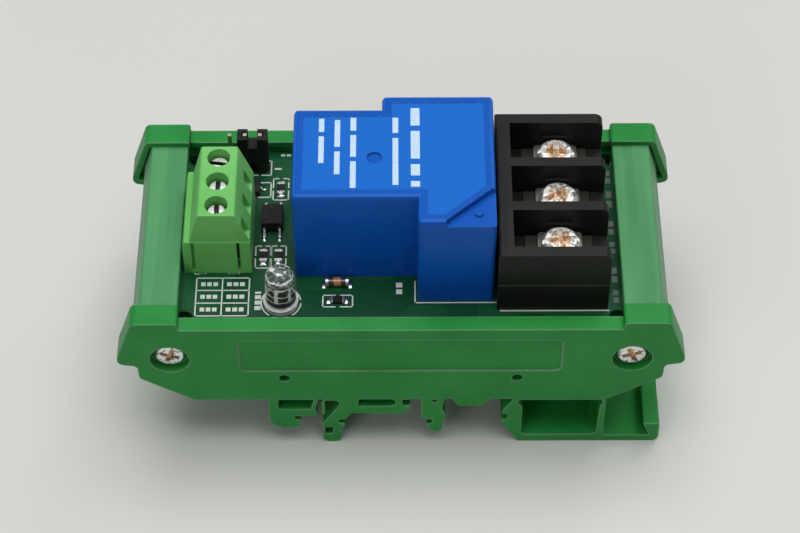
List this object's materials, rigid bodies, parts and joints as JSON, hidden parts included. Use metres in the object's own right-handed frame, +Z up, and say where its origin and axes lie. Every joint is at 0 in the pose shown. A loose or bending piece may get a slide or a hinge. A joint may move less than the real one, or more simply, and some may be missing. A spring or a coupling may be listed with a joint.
{
  "type": "relay module board",
  "caption": "Power relay on a board with screw terminals, jumper and indicator lamp, held in a carrier that clips on a mounting rail.",
  "frame": {"origin": "centre of the base of the box round the part: under the middle of the carrier, level with the rail feet", "axes": "+Z up from the feet to the relay, +X from the input terminal to the output block, Y along the mounting rail, -Y towards the side with the indicator lamp"},
  "size_m": [0.0922, 0.0434, 0.0478],
  "materials": {
    "profile_green": "extruded PVC, satin, with fine lines along its length",
    "cap_green": "moulded nylon, fine satin grain",
    "cap_screw_steel": "nickel-plated, with a worn brassy cross",
    "board_green": "solder mask with white print",
    "relay_blue": "moulded case, satin panel with a glossy rim",
    "relay_base_blue": "moulded base, sealed with resin",
    "terminal_green": "moulded polyamide, light green",
    "terminal_screw_steel": "zinc-plated, slotted",
    "clamp_steel": "nickel-plated sleeve",
    "barrier_black": "moulded thermoset, fine grain",
    "barrier_screw_steel": "nickel-plated, brass showing in the recess",
    "contact_brass": "plain brass strip",
    "header_black": "moulded, black",
    "pin_gold": "flash-gold pins",
    "lens_clear": "water-clear epoxy",
    "package_black": "epoxy package",
    "tinned_metal": "tinned copper",
    "diode_glass": "orange glass tube",
    "solder": "tin solder, bright"
  },
  "bodies": {
    "root": {"carrier_profile": "profile_green", "end_cap_front": "cap_green", "end_cap_rear": "cap_green", "cap_screws": "cap_screw_steel", "circuit_board": "board_green", "relay_case": "relay_blue", "relay_base": "relay_base_blue", "relay_pins": "tinned_metal", "input_terminal_body": "terminal_green", "input_terminal_screws": "terminal_screw_steel", "input_terminal_clamps": "clamp_steel", "input_terminal_pins": "tinned_metal", "barrier_block": "barrier_black", "barrier_screws": "barrier_screw_steel", "barrier_washers": "barrier_screw_steel", "barrier_contacts": "contact_brass", "header_base": "header_black", "header_pins": "pin_gold", "jumper_cap": "header_black", "jumper_contact": "contact_brass", "led_lens": "lens_clear", "led_leads": "tinned_metal", "optocoupler_body": "package_black", "optocoupler_leads": "tinned_metal", "chip_resistors": "package_black", "resistor_ends": "tinned_metal", "transistor_body": "package_black", "transistor_leads": "tinned_metal", "diode_body": "diode_glass", "diode_ends": "tinned_metal", "solder_joints": "solder"}
  },
  "joints": []
}
